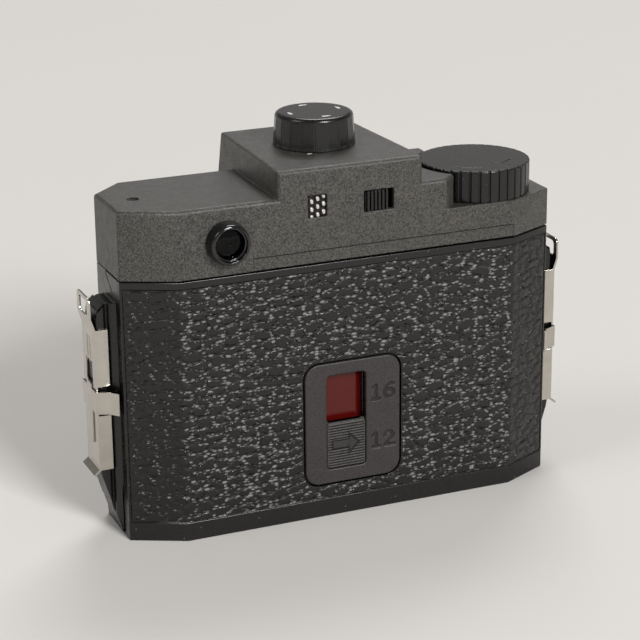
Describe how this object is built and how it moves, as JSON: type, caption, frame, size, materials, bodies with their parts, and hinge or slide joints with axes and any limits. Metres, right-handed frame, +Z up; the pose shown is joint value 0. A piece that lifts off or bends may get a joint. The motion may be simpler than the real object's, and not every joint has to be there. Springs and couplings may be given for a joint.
{
  "type": "medium format film camera",
  "caption": "Medium format roll-film camera in black plastic, with a hump that holds a colour flash, a winding knob, a lift-off back with a film counter window, and steel side clips",
  "frame": {"origin": "centre of the mouth of the tripod socket, in the plane of the base", "axes": "+Z up through the camera; +Y towards the film back, so the lens looks along -Y; +X towards the viewfinder side"},
  "size_m": [0.1502, 0.0821, 0.116],
  "materials": {
    "body_black": "moulded ABS, semi-gloss black",
    "cover_grain": "moulded ABS, spark-eroded fine grain",
    "back_black": "moulded ABS with a leather-like grained panel",
    "plate_grey": "moulded plate, fine matt grain",
    "slider_black": "moulded slide with fine ribs",
    "red_clear": "deep red clear acrylic",
    "foam_grey": "thin black light-seal foam",
    "eyepiece_black": "polished black plastic",
    "lens_clear": "polished clear lens",
    "tunnel_black": "matt black moulding",
    "lamp_clear": "clear faceted acrylic",
    "lamp_orange": "neon lamp bulb",
    "switch_black": "moulded slide switch",
    "flash_clear": "clear ribbed acrylic",
    "mirror_steel": "polished reflector sheet",
    "dial_black": "moulded fluted dial",
    "drum_black": "moulded filter drum",
    "gel_red": "red filter foil",
    "gel_yellow": "yellow filter foil",
    "gel_blue": "blue filter foil",
    "board_brown": "phenolic circuit board",
    "capacitor_blue": "sleeved capacitor",
    "copper_wound": "enamelled copper winding",
    "wire_red": "sleeved wire",
    "contact_brass": "springy brass leaf",
    "knob_black": "moulded ribbed knob",
    "steel_plain": "plated steel",
    "spool_black": "moulded spool",
    "mask_black": "matt black moulding",
    "cell_sleeve": "plain sleeved cell",
    "barrel_black": "moulded barrel",
    "blade_black": "blackened sheet",
    "ring_black": "moulded ribbed ring",
    "brass_plated": "machined brass bush",
    "clip_steel": "bright nickel-plated spring steel",
    "screw_steel": "blackened steel"
  },
  "bodies": {
    "chassis": {"front_body": "body_black", "top_cover": "cover_grain", "eyepiece_ring": "eyepiece_black", "eyepiece_lens": "lens_clear", "finder_tunnel": "tunnel_black", "finder_front_lens": "lens_clear", "ready_window": "lamp_clear", "ready_lamp": "lamp_orange", "flash_window": "flash_clear", "flash_reflector": "mirror_steel", "flash_tube": "flash_clear", "circuit_board": "board_brown", "flash_capacitor": "capacitor_blue", "flash_transformer": "copper_wound", "flash_wires": "wire_red", "sync_contact": "contact_brass", "ratchet_pawl": "steel_plain", "spool_pins": "steel_plain", "film_mask": "mask_black", "battery_left": "cell_sleeve", "battery_right": "cell_sleeve", "battery_contacts": "contact_brass", "lens_housing": "barrel_black", "shutter_plate": "steel_plain", "shutter_spring": "steel_plain", "tripod_bush": "brass_plated", "cover_screws": "screw_steel", "housing_screws": "screw_steel"},
    "back": {"back_cover": "back_black", "window_plate": "plate_grey", "red_window": "red_clear", "window_foam": "foam_grey"},
    "counter": {"counter_slider": "slider_black"},
    "winder": {"winding_knob": "knob_black", "winding_shaft": "steel_plain", "ratchet_wheel": "steel_plain", "takeup_spool": "spool_black"},
    "dial": {"filter_dial": "dial_black", "filter_drum": "drum_black", "filter_red": "gel_red", "filter_yellow": "gel_yellow", "filter_blue": "gel_blue"},
    "flash_slide": {"flash_switch": "switch_black"},
    "release": {"shutter_lever": "barrel_black"},
    "blade": {"shutter_blade": "blade_black"},
    "stop": {"aperture_lever": "barrel_black"},
    "time_slide": {"time_switch": "barrel_black"},
    "focus": {"focus_ring": "ring_black"},
    "lens": {"lens_cell": "barrel_black", "lens_element": "lens_clear", "lens_bezel": "barrel_black"},
    "left_clip": {"clip_left": "clip_steel", "clip_spring_left": "clip_steel"},
    "right_clip": {"clip_right": "clip_steel", "clip_spring_right": "clip_steel"}
  },
  "joints": [
    {"name": "back_slide", "type": "slide", "parent": "chassis", "child": "back", "axis": [0, 1, 0], "range_m": [0, 0.06]},
    {"name": "counter_slide", "type": "slide", "parent": "back", "child": "counter", "axis": [0, 0, 1], "range_m": [0, 0.0145]},
    {"name": "winding_turn", "type": "hinge", "parent": "chassis", "child": "winder", "pos_m": [-0.0466, 0.0037, 0], "axis": [0, 0, 1], "continuous": true},
    {"name": "dial_turn", "type": "hinge", "parent": "chassis", "child": "dial", "pos_m": [0.0002, -0.0065, 0], "axis": [0, 0, 1], "continuous": true},
    {"name": "flash_switch_slide", "type": "slide", "parent": "chassis", "child": "flash_slide", "axis": [-1, 0, 0], "range_m": [0, 0.0019]},
    {"name": "release_press", "type": "hinge", "parent": "chassis", "child": "release", "pos_m": [-0.016, -0.035, 0.0385], "axis": [0, -1, 0], "range_deg": [0, 14], "stiffness_Nm_per_rad": 0.02, "springref_deg": -17.19},
    {"name": "blade_swing", "type": "hinge", "parent": "chassis", "child": "blade", "pos_m": [0, -0.036, 0.0205], "axis": [0, 1, 0], "range_deg": [0, 49.2]},
    {"name": "stop_swing", "type": "hinge", "parent": "chassis", "child": "stop", "pos_m": [0, -0.038, 0.0565], "axis": [0, -1, 0], "range_deg": [0, 27.7]},
    {"name": "time_slide_move", "type": "slide", "parent": "chassis", "child": "time_slide", "axis": [1, 0, 0], "range_m": [0, 0.004]},
    {"name": "focus_turn", "type": "hinge", "parent": "chassis", "child": "focus", "pos_m": [0, -0.05, 0.0365], "axis": [0, 1, 0], "range_deg": [0, 110]},
    {"name": "lens_slide", "type": "slide", "parent": "chassis", "child": "lens", "axis": [0, -1, 0], "range_m": [0, 0.0038]},
    {"name": "left_clip_slide", "type": "slide", "parent": "chassis", "child": "left_clip", "axis": [0, 0, 1], "range_m": [0, 0.018]},
    {"name": "right_clip_slide", "type": "slide", "parent": "chassis", "child": "right_clip", "axis": [0, 0, 1], "range_m": [0, 0.018]}
  ],
  "couplings": [
    {"joint": "blade_swing", "follows": "release_press", "ratio": 3.5},
    {"joint": "lens_slide", "follows": "focus_turn", "m_per_rad": 0.001979}
  ]
}
